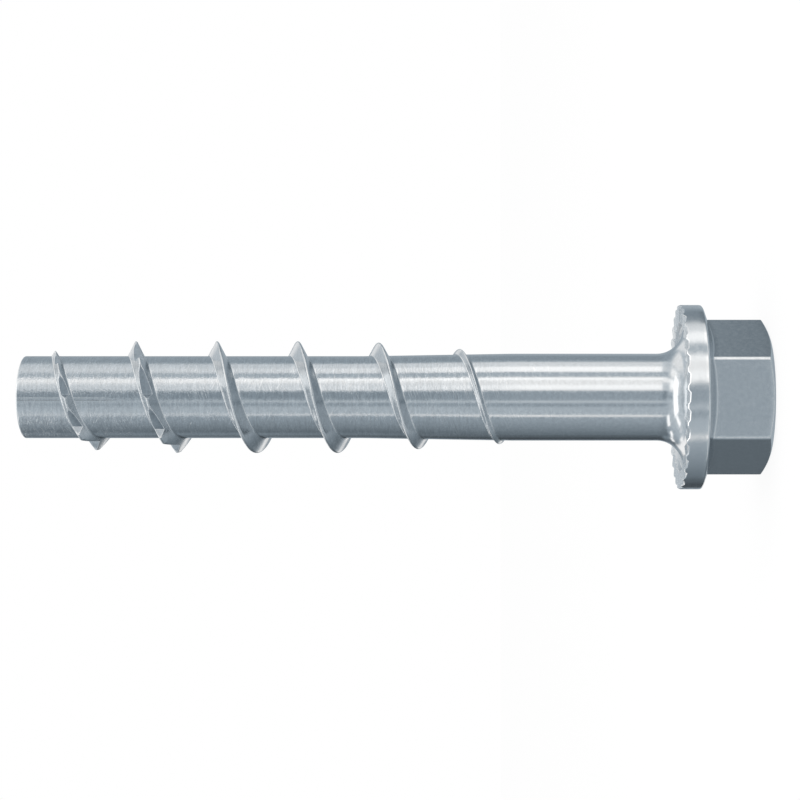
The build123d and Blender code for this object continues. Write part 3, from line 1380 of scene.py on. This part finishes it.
        # Edges and scratches brighten; on edges this is partly abraded plating and partly a painted highlight
        bright = web.maths("MAXIMUM", marks.wear_and_highlight_mask, web.product(marks.scratch, self.scratch_brightness))
        if marks.parting_ridge_and_highlight is not None:
            # Painted shadow beside the parting ridge, and a painted highlight on the ridge
            shade = web.maths("SUBTRACT", shade, web.product(marks.parting_shadow_mask, self.parting_shade))
            bright = web.maths("MAXIMUM", bright, web.product(marks.parting_ridge_and_highlight, self.parting_highlight))
        grey = web.node("ShaderNodeCombineColor", {0: shade, 1: shade, 2: shade}).outputs[0]
        # Painted shade: the notch floors go over to a darker colour
        colour = web.mix(marks.cut, (*self.colour, 1.0), (*self.notch_shade_colour, 1.0))
        return web.mix(bright, web.mix(1.0, colour, grey, blend="MULTIPLY"), (*self.wear_and_highlight_colour, 1.0))

    def _roughness(self, web: Web, marks: Marks) -> Socket:
        """Roughness of the plating, uneven and greater near the tip, and set apart in notches and on edges.

        Args:
            web: The material's web.
            marks: The finish's marks.

        Returns:
            The roughness.
        """
        low, high = self.roughness - self.roughness_spread / 2, self.roughness + self.roughness_spread
        rough = web.spread(marks.lumps, *self.lump_range, low, high)
        rough = web.total(rough, web.spread(marks.height, *self.tip_rough_heights, 0.0, self.tip_roughness))
        return web.blend(marks.wear_and_highlight_mask, web.blend(marks.cut, rough, self.cut_roughness), self.edge_roughness)


# Screw


@dataclass(frozen=True)
class ConcreteScrew:
    """The whole screw as one closed surface in five finishes, which stand in the order of Zone."""

    thread: Thread = field(default_factory=Thread)
    head: Head = field(default_factory=Head)
    finishes: tuple[ZincFinish, ...] = (
        ZincFinish("zinc_on_rolled_shaft", parting_line=True),
        ZincFinish(
            "zinc_on_forged_head", roughness=0.19, tone_spread=0.12, scratch_amount=0.1, edge_amount=0.6,
        ),
        ZincFinish(
            "zinc_on_bearing_face", roughness=0.34, lump_depth=0.006, tone_spread=0.12, scratch_amount=0.1,
            edge_amount=0.6,
        ),
        ZincFinish(
            "zinc_on_thread_ridge", colour=(0.60, 0.63, 0.652), wear_and_highlight_colour=(0.88, 0.90, 0.91),
            roughness=0.18, lump_depth=0.001, rolled_lump_depth=0.0025, tip_lump_depth=0.0025,
            streak_depth=0.0008, scratch_amount=0.15, edge_amount=0.62, edge_roughness=0.36,
        ),
        ZincFinish("zinc_on_smooth_neck", roughness=0.14, lump_depth=0.002, scratch_amount=0.1),
    )

    def build(self) -> bpy.types.Object:
        """Makes the screw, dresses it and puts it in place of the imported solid.

        Returns:
            The screw.
        """
        mesh = welded_mesh("screw_surface", self.thread.patches() + self.head.patches())
        effects = SurfaceEffects()
        for finish in self.finishes:
            mesh.materials.append(finish.material(effects))
        piece = new_object("screw_surface", mesh)
        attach(piece, BODY)
        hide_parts(CAD_NODE)
        LOG.info("%s: %d faces", piece.name, len(mesh.polygons))
        return piece


# Studio


@dataclass(frozen=True)
class StudioCard:
    """A soft-sided lamp, card or gap in the studio, as the polished metal shows it.

    Directions are seen from the screw, in degrees: azimuth from the camera's side towards +X, and elevation
    above the level. The card's middle is at azimuth, and its sides fade over softness. It covers what is
    behind it.
    """

    azimuth: float
    half_width: float
    softness: float
    level: float

    def window(self, web: Web, azimuth: Socket, elevation: Socket) -> Socket:
        """Share of a direction that the card covers.

        Args:
            web: The world's web.
            azimuth: The direction's azimuth.
            elevation: Its elevation, which a card that goes all the way up and down has no use for.

        Returns:
            The share, from 0 to 1.
        """
        if self.azimuth == BEHIND:
            away = web.maths("SUBTRACT", BEHIND, web.maths("ABSOLUTE", azimuth))
        else:
            away = web.distance(azimuth, self.azimuth)
        return web.spread(away, self.half_width + self.softness / 2, self.half_width - self.softness / 2)


@dataclass(frozen=True)
class UprightCard(StudioCard):
    """A card on edge, whose level changes to another one above the level of the screw."""

    raised: float


@dataclass(frozen=True)
class Softbox(StudioCard):
    """A card between two elevations, with ends that fade."""

    bottom: float
    top: float
    fade: float

    def window(self, web: Web, azimuth: Socket, elevation: Socket) -> Socket:
        """Share of a direction that the softbox covers. One that ends overhead has no upper end.

        Args:
            web: The world's web.
            azimuth: The direction's azimuth.
            elevation: Its elevation.

        Returns:
            The share, from 0 to 1.
        """
        half = self.fade / 2
        share = web.product(
            super().window(web, azimuth, elevation),
            web.spread(elevation, self.bottom - half, self.bottom + half),
        )
        if self.top >= OVERHEAD:
            return share
        return web.product(share, web.spread(elevation, self.top + half, self.top - half))


@dataclass(frozen=True)
class Studio:
    """White studio with lamps, cards and dark gaps round the screw, a pale floor and one soft lamp.

    surround and low_side are the plain studio's levels at their elevations. The ranges are azimuths or
    elevations over which one thing gives way to another: low_side_start and low_side_end the surround to
    its darker side and back, raised_range a card's level to its raised one, upright_bottom and upright_top
    the plain studio to the upright cards and back, and zenith everything to the plain surround overhead.
    """

    cards: tuple[UprightCard, ...] = (
        UprightCard(126.0, 14.0, 10.0, 0.38, 0.42),
        UprightCard(86.0, 18.0, 8.0, 0.97, 0.80),
        UprightCard(76.0, 9.0, 6.0, 1.42, 0.88),
        UprightCard(58.0, 5.5, 5.0, 0.60, 0.58),
        UprightCard(32.5, 19.0, 5.0, 1.14, 0.88),
        UprightCard(23.0, 6.0, 6.0, 1.40, 0.82),
        UprightCard(46.0, 2.8, 3.0, 1.5, 1.85),
        UprightCard(2.5, 10.0, 5.0, 0.45, 0.34),
        UprightCard(-15.5, 3.0, 4.0, 0.74, 0.68),
        UprightCard(-24.0, 3.0, 4.0, 0.42, 0.42),
        UprightCard(-40.0, 11.0, 5.0, 0.60, 0.60),
        UprightCard(-54.0, 2.6, 4.0, 1.15, 0.86),
        UprightCard(-134.0, 10.0, 10.0, 0.15, 0.29),
        UprightCard(-149.0, 11.0, 9.0, 0.09, 0.20),
        UprightCard(-167.0, 5.5, 5.0, 0.38, 0.38),
    )
    softboxes: tuple[Softbox, ...] = (
        Softbox(54.0, 41.0, 12.0, 0.90, 28.0, OVERHEAD, 24.0),
        Softbox(42.0, 6.0, 6.0, 1.22, 4.0, 34.0, 8.0),
        Softbox(33.0, 15.0, 12.0, 1.42, 33.0, 60.0, 14.0),
        Softbox(71.0, 13.0, 8.0, 1.25, 34.0, 58.0, 12.0),
        Softbox(-1.0, 68.0, 20.0, 1.75, 50.0, 70.0, 4.0),
        Softbox(117.0, 16.0, 8.0, 0.24, -24.0, -6.6, 1.6),
        Softbox(118.0, 24.0, 12.0, 1.05, 30.0, 60.0, 14.0),
        Softbox(-70.0, 17.0, 5.0, 1.5, 20.5, 30.0, 4.0),
        Softbox(-114.0, 7.5, 4.0, 1.5, 23.5, 30.0, 4.0),
        Softbox(1.0, 11.0, 9.0, 0.5, 27.0, 46.0, 5.0),
        Softbox(9.0, 8.0, 6.0, 0.36, -62.0, -28.0, 5.0),
        Softbox(-138.0, 8.0, 4.0, 1.4, 17.5, 23.0, 3.0),
        Softbox(-125.0, 5.0, 5.0, 1.5, 22.0, 26.5, 4.0),
        Softbox(-97.0, 25.0, 10.0, 1.6, 54.5, 61.5, 4.0),
        Softbox(-134.0, 8.0, 6.0, 0.9, 48.0, 54.0, 4.0),
        Softbox(-151.0, 6.0, 5.0, 1.3, 35.0, 43.0, 4.0),
        Softbox(48.0, 42.0, 16.0, 1.15, -28.5, -17.0, 4.0),
        Softbox(-40.0, 50.0, 16.0, 1.0, -28.5, -19.0, 4.0),
        Softbox(-172.0, 11.0, 6.0, 0.5, -36.0, -24.0, 6.0),
        Softbox(-165.5, 4.0, 4.0, 1.25, -28.0, -14.0, 5.0),
        Softbox(-170.0, 16.0, 10.0, 1.2, 18.0, 38.0, 4.0),
        Softbox(BEHIND, 9.0, 6.0, 1.1, 16.0, 30.0, 4.0),
        Softbox(160.0, 13.0, 8.0, 0.98, 19.0, 34.0, 4.0),
    )
    surround: Stops = (
        (-90.0, 0.64), (-60.0, 0.62), (-50.0, 0.54), (-42.0, 0.43), (-5.0, 0.485), (4.0, 0.43), (13.0, 0.42),
        (18.0, 0.54), (24.0, 0.62), (35.0, 0.68), (60.0, 0.74), (80.0, 0.71),
    )
    low_side: Stops = (
        (-75.0, 0.75), (-60.0, 0.52), (-52.0, 0.30), (-46.0, 0.235), (-30.0, 0.17), (-8.0, 0.25),
        (4.0, 0.205), (14.0, 0.20), (20.0, 0.40), (30.0, 0.50), (45.0, 0.62), (60.0, 0.72), (80.0, 0.70),
    )
    low_side_start: Range = (-64.0, -115.0)
    low_side_end: Range = (-180.0, -168.0)
    raised_range: Range = (-1.0, 7.0)
    upright_bottom: Range = (-24.0, -14.0)
    upright_top: Range = (38.0, 10.0)
    zenith: Range = (74.0, 83.0)
    diffuse_level: float = 0.72
    floor_reach: float = 3000.0
    floor_tone: float = 0.9
    floor_glow: float = 1.05
    floor_glow_share: float = 0.85
    lamp_side: float = 500.0
    lamp_power: float = 0.6
    lamp_place: tuple[float, float, float] = (120.0, -180.0, 500.0)

    def _seen(self, web: Web) -> Socket:
        """Colour of the studio in the direction of a glossy ray.

        The surround changes with the elevation alone, and is darker on one side. The upright cards stand in
        it, and fade out some way above the level and below it. The softboxes cover both, and the zenith is
        plain again.

        Args:
            web: The world's web.

        Returns:
            The colour.
        """
        x, y, z = web.parts(web.node("ShaderNodeTexCoord").outputs["Generated"])
        turn = web.maths("ARCTAN2", x, web.product(y, -1.0))
        azimuth, elevation = (web.product(value, 180 / np.pi) for value in (turn, web.maths("ARCSINE", z)))
        low = web.spread(azimuth, *self.low_side_start, smooth=False)
        low = web.product(low, web.spread(azimuth, *self.low_side_end))
        surround = web.ramp(elevation, self.surround)
        plain = web.mix(low, surround, web.ramp(elevation, self.low_side))
        seen, raised = plain, web.spread(elevation, *self.raised_range)
        for card in self.cards:
            light = web.mix(raised, tone(card.level), tone(card.raised))
            seen = web.mix(card.window(web, azimuth, elevation), seen, light)
        ends = (web.spread(elevation, *span) for span in (self.upright_bottom, self.upright_top))
        seen = web.mix(web.product(*ends), plain, seen)
        for softbox in self.softboxes:
            seen = web.mix(softbox.window(web, azimuth, elevation), seen, tone(softbox.level))
        return web.mix(web.spread(elevation, *self.zenith), seen, surround)

    def world(self) -> None:
        """Lights the scene.

        Camera and transmission rays find plain white, glossy rays find the studio, and other rays find plain
        pale light.
        """
        world = bpy.data.worlds.new("studio")
        bpy.context.scene.world = world
        world.use_nodes = True
        web = Web(world.node_tree)
        glossy = web.node("ShaderNodeLightPath").outputs["Is Glossy Ray"]
        plain, studio = web.background(WHITE, self.diffuse_level), web.background(self._seen(web))
        shown = web.either(web.straight_ray(), web.either(glossy, plain, studio), web.background(WHITE))
        web.node("ShaderNodeOutputWorld", {"Surface": shown})

    def floor(self) -> bpy.types.Object:
        """A pale floor under the head.

        It shows white to the camera with the screw's soft shadow on it, because it glows a little.

        Returns:
            The floor.
        """
        reach = self.floor_reach * MM
        mesh = bpy.data.meshes.new("floor")
        corners = [(-reach, -reach, 0), (reach, -reach, 0), (reach, reach, 0), (-reach, reach, 0)]
        mesh.from_pydata(corners, [], [(0, 1, 2, 3)])
        made, web = new_material("pale_floor")
        grey = (self.floor_tone, self.floor_tone, self.floor_tone, 1.0)
        matt = web.node("ShaderNodeBsdfDiffuse", {"Color": grey}).outputs[0]
        glow = web.node("ShaderNodeEmission", {"Color": WHITE, "Strength": self.floor_glow}).outputs[0]
        shown = web.either(web.straight_ray(), matt, web.either(self.floor_glow_share, matt, glow))
        web.node("ShaderNodeOutputMaterial", {"Surface": shown})
        mesh.materials.append(made)
        piece = new_object("floor", mesh)
        piece.visible_glossy = False
        piece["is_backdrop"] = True
        return piece

    def lamp(self) -> bpy.types.Object:
        """One large soft lamp above the tip, which lays the shadow and stays out of the reflections.

        Returns:
            The lamp.
        """
        light = bpy.data.lights.new("soft_lamp", "AREA")
        light.shape, light.size, light.size_y = "RECTANGLE", self.lamp_side * MM, self.lamp_side * MM
        light.energy = self.lamp_power
        piece = new_object("soft_lamp", light)
        piece.location = [part * MM for part in self.lamp_place]
        piece.rotation_euler = (-piece.location).to_track_quat("-Z", "Y").to_euler()
        piece.visible_glossy = False
        return piece


@dataclass(frozen=True)
class PhotoCamera:
    """Camera that looks level across the lying screw, rolled so that the head is on the right.

    centre is the pixel that its axis passes through, and axis_row and end_column are the pixels of the
    screw's axis and of the head's end face. distance is in pixels of the photograph at the screw's axis.
    clip holds the nearest and the farthest distance that it sees.
    """

    distance: float = 1880.0
    centre: tuple[float, float] = (482.0, 512.5)
    axis_row: float = 397.15
    end_column: float = 766.4
    mm_per_pixel: float = 0.1111
    sensor: float = 36.0
    clip: Range = (10.0, 20000.0)

    def build(self) -> bpy.types.Object:
        """Makes the camera and gives it to the scene.

        Returns:
            The camera.
        """
        data = bpy.data.cameras.new("photo_camera")
        below, away = self.centre[1] - self.axis_row, self.distance
        lean, reach = np.arctan2(below, away), np.hypot(below, away)
        data.sensor_width = self.sensor
        data.lens = reach / PHOTO_SIDE * self.sensor
        data.shift_x = (PHOTO_SIDE / 2 - self.centre[0]) / PHOTO_SIDE
        data.shift_y = (self.axis_row - PHOTO_SIDE / 2) / PHOTO_SIDE
        data.clip_start, data.clip_end = (limit * MM for limit in self.clip)
        right, up = Vector((0, 0, -1)), Vector((np.cos(lean), -np.sin(lean), 0))
        back = right.cross(up)
        scale = self.mm_per_pixel * MM
        level = (self.end_column - self.centre[0]) * scale
        camera = new_object("photo_camera", data)
        camera.matrix_world = Matrix((
            (right.x, up.x, back.x, back.x * reach * scale),
            (right.y, up.y, back.y, back.y * reach * scale),
            (right.z, up.z, back.z, level),
            (0, 0, 0, 1),
        ))
        bpy.context.scene.camera = camera
        return camera


# Scene


def write_sizes() -> None:
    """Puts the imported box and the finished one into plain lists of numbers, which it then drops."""
    boxes = {"cad": CAD_BOX, "visual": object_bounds()}
    boxes = {name: [list(corner) for corner in box] for name, box in boxes.items()}


def main() -> None:
    """Builds the camera, the studio and the screw in order."""
    logging.basicConfig(level=logging.INFO, format="%(message)s")
    bpy.context.scene.view_settings.view_transform = "Standard"
    PhotoCamera().build()
    studio = Studio()
    studio.world()
    studio.floor()
    studio.lamp()
    ConcreteScrew().build()
    write_sizes()


if __name__ == "__main__":
    main()
